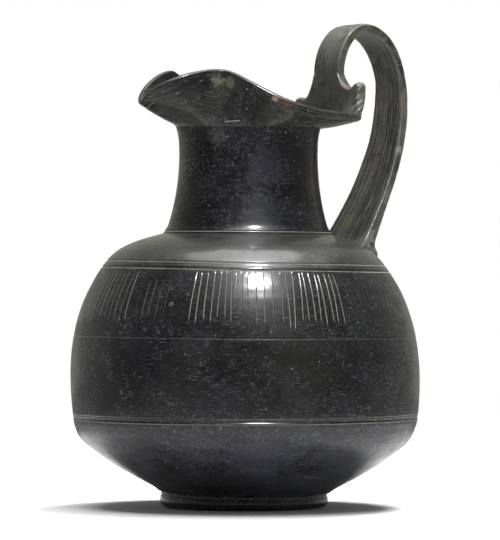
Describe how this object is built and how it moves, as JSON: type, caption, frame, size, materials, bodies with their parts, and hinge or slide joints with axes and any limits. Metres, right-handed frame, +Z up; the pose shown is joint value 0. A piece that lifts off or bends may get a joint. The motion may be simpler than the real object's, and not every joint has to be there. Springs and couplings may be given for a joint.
{
  "type": "oinochoe jug",
  "caption": "Burnished black pouring jug with a trefoil mouth, globular body on a ring foot, and a high fluted strap handle.",
  "frame": {"origin": "on the vessel's axis, in the plane of the edge that the foot stands on", "axes": "+Z up along the vessel's axis, +X towards the handle, -X towards the spout"},
  "size_m": [0.2206, 0.2154, 0.3003],
  "materials": {
    "body_clay": "burnished black fired clay, worn satin",
    "belly_clay": "burnished black fired clay with a band of incised strokes",
    "handle_clay": "burnished black fired clay, duller and more worn"
  },
  "bodies": {
    "root": {"foot_ring": "body_clay", "lower_body": "body_clay", "belly": "belly_clay", "shoulder": "body_clay", "collar": "body_clay", "neck": "body_clay", "mouth": "body_clay", "handle_saddle": "handle_clay", "tall_horn": "handle_clay", "short_horn": "handle_clay", "handle_strap": "handle_clay", "handle_root": "handle_clay"}
  },
  "joints": []
}
